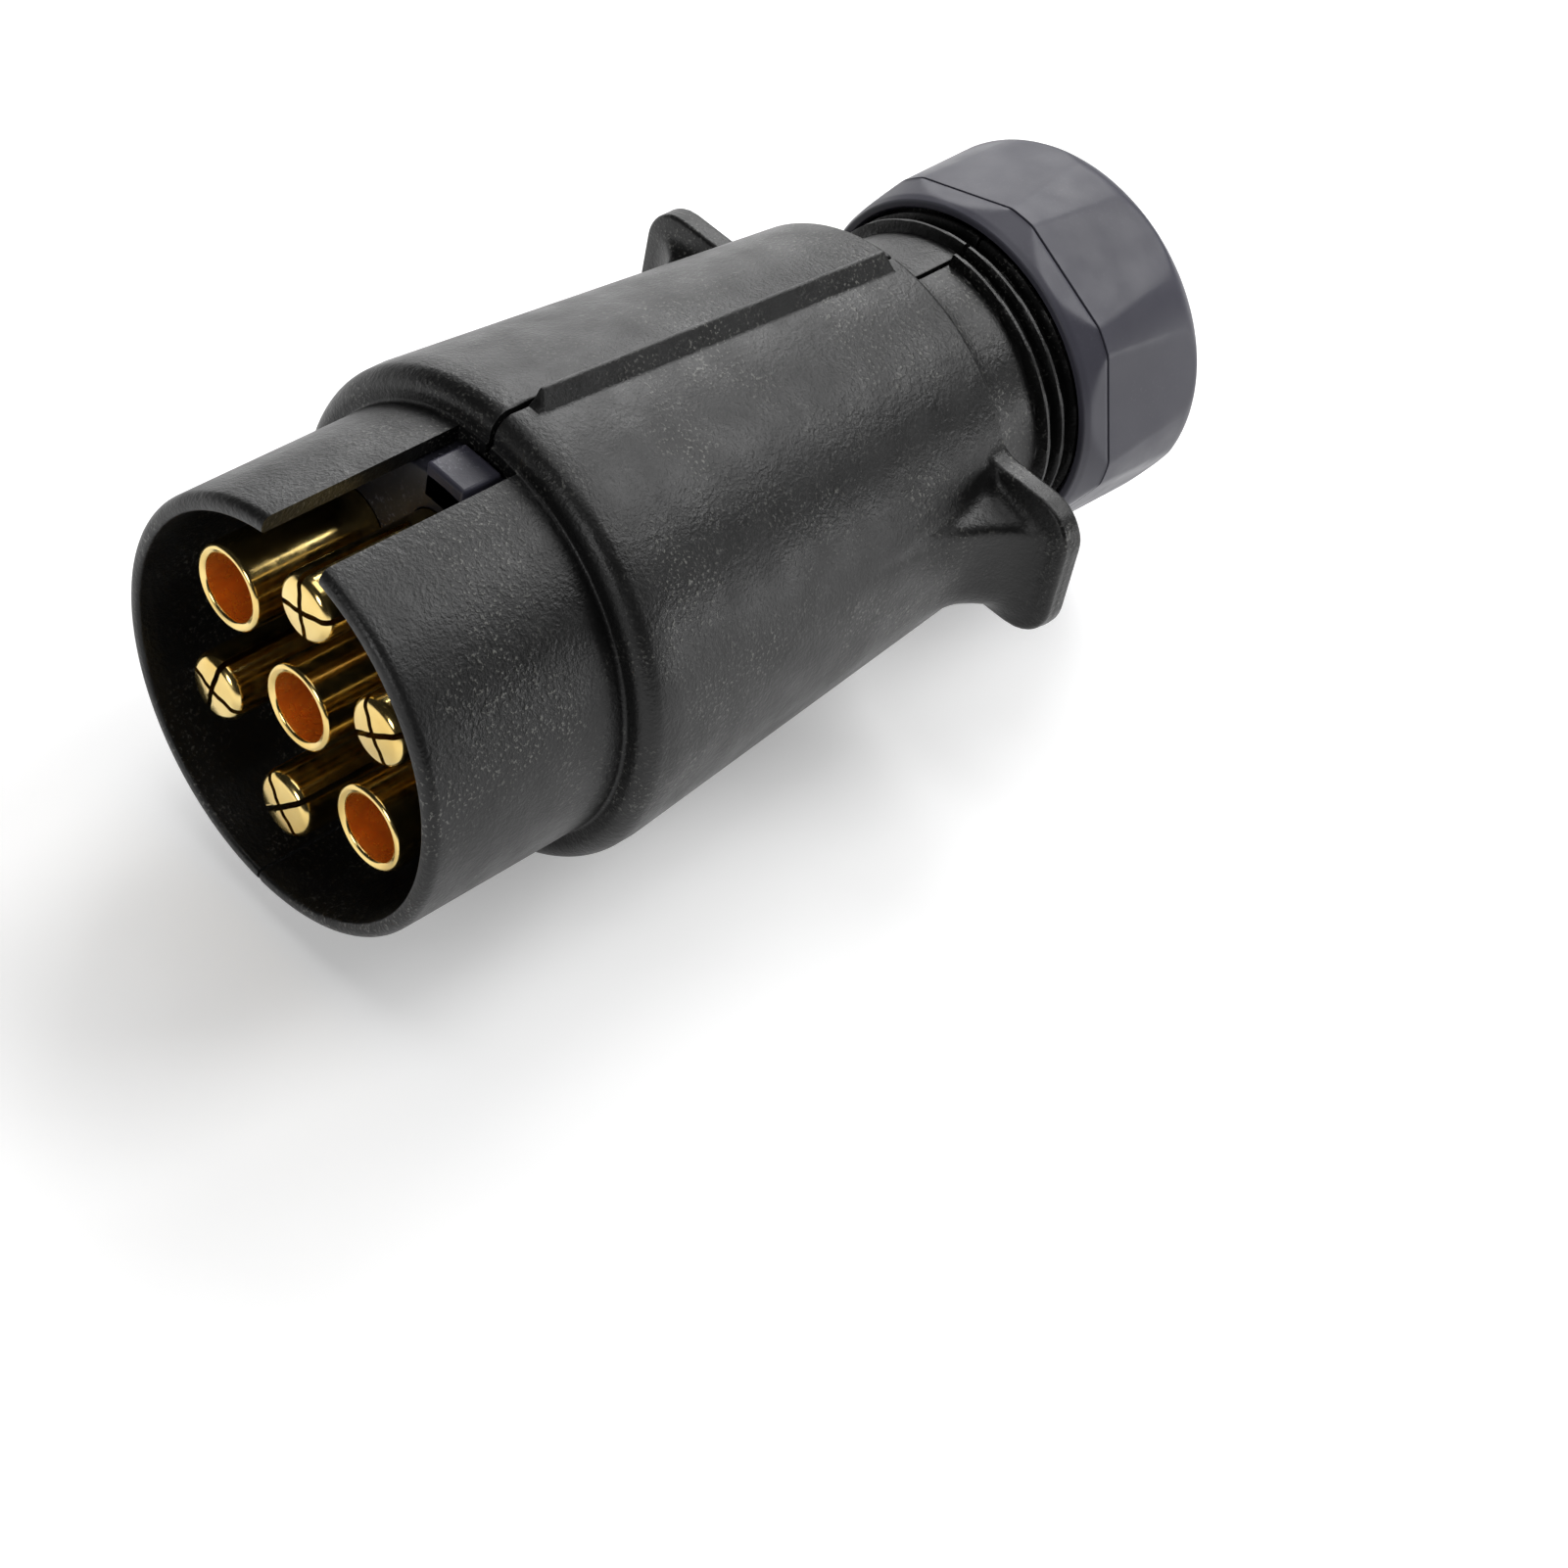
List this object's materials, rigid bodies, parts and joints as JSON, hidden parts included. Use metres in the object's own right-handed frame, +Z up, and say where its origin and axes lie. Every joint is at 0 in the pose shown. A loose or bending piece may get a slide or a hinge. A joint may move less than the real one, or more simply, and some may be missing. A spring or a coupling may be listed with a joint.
{
  "type": "trailer wiring plug",
  "caption": "Round keyed multi-pin trailer wiring plug: split shell with finger ears, mixed pin and tube contacts, and a screw-on cable gland nut.",
  "frame": {"origin": "under the middle of the plug's overall box, on the surface that the collar rests on", "axes": "+Y runs along the plug's axis from the mating rim to the cable end, +Z up through the key slot, +X to the right seen from the mating end"},
  "size_m": [0.056, 0.1002, 0.0483],
  "materials": {
    "shell_plastic": "fine-grained satin black",
    "carrier_plastic": "smooth black",
    "nut_plastic": "semi-gloss dark grey",
    "contact_brass": "bright turned brass",
    "screw_steel": "zinc plated",
    "ring_plastic": "natural grey",
    "grommet_rubber": "soft matt"
  },
  "bodies": {
    "plug_body": {"shell_left": "shell_plastic", "shell_right": "shell_plastic", "contact_carrier": "carrier_plastic", "tube_contact_centre": "contact_brass", "tube_contact_1": "contact_brass", "tube_contact_2": "contact_brass", "split_pin_1": "contact_brass", "split_pin_2": "contact_brass", "split_pin_3": "contact_brass", "split_pin_4": "contact_brass"},
    "gland_slide": {"pressure_ring": "ring_plastic", "cable_grommet": "grommet_rubber"},
    "gland_nut": {"gland_nut": "nut_plastic"},
    "tube_screw_centre": {"tube_screw_centre": "screw_steel"},
    "tube_screw_1": {"tube_screw_1": "screw_steel"},
    "tube_screw_2": {"tube_screw_2": "screw_steel"},
    "pin_screw_1": {"pin_screw_1": "screw_steel"},
    "pin_screw_2": {"pin_screw_2": "screw_steel"},
    "pin_screw_3": {"pin_screw_3": "screw_steel"},
    "pin_screw_4": {"pin_screw_4": "screw_steel"}
  },
  "joints": [
    {"name": "nut_travel", "type": "slide", "parent": "plug_body", "child": "gland_slide", "axis": [0, 1, 0], "range_m": [-0.005, 0.005]},
    {"name": "nut_turn", "type": "hinge", "parent": "gland_slide", "child": "gland_nut", "pos_m": [0, 0.04185, 0.02345], "axis": [0, 1, 0], "range_deg": [-900, 900]},
    {"name": "tube_screw_centre_travel", "type": "slide", "parent": "plug_body", "child": "tube_screw_centre", "axis": [0, 0, 1], "range_m": [-0.0006, 0.0014]},
    {"name": "tube_screw_1_travel", "type": "slide", "parent": "plug_body", "child": "tube_screw_1", "axis": [-0.866, 0, 0.5], "range_m": [-0.0006, 0.0014]},
    {"name": "tube_screw_2_travel", "type": "slide", "parent": "plug_body", "child": "tube_screw_2", "axis": [0.866, 0, -0.5], "range_m": [-0.0006, 0.0014]},
    {"name": "pin_screw_1_travel", "type": "slide", "parent": "plug_body", "child": "pin_screw_1", "axis": [0, 0, 1], "range_m": [-0.0006, 0.0014]},
    {"name": "pin_screw_2_travel", "type": "slide", "parent": "plug_body", "child": "pin_screw_2", "axis": [0.866, 0, 0.5], "range_m": [-0.0006, 0.0014]},
    {"name": "pin_screw_3_travel", "type": "slide", "parent": "plug_body", "child": "pin_screw_3", "axis": [0, 0, -1], "range_m": [-0.0006, 0.0014]},
    {"name": "pin_screw_4_travel", "type": "slide", "parent": "plug_body", "child": "pin_screw_4", "axis": [-0.866, 0, -0.5], "range_m": [-0.0006, 0.0014]}
  ],
  "couplings": [
    {"joint": "nut_turn", "follows": "nut_travel", "rad_per_m": 3141.6}
  ]
}
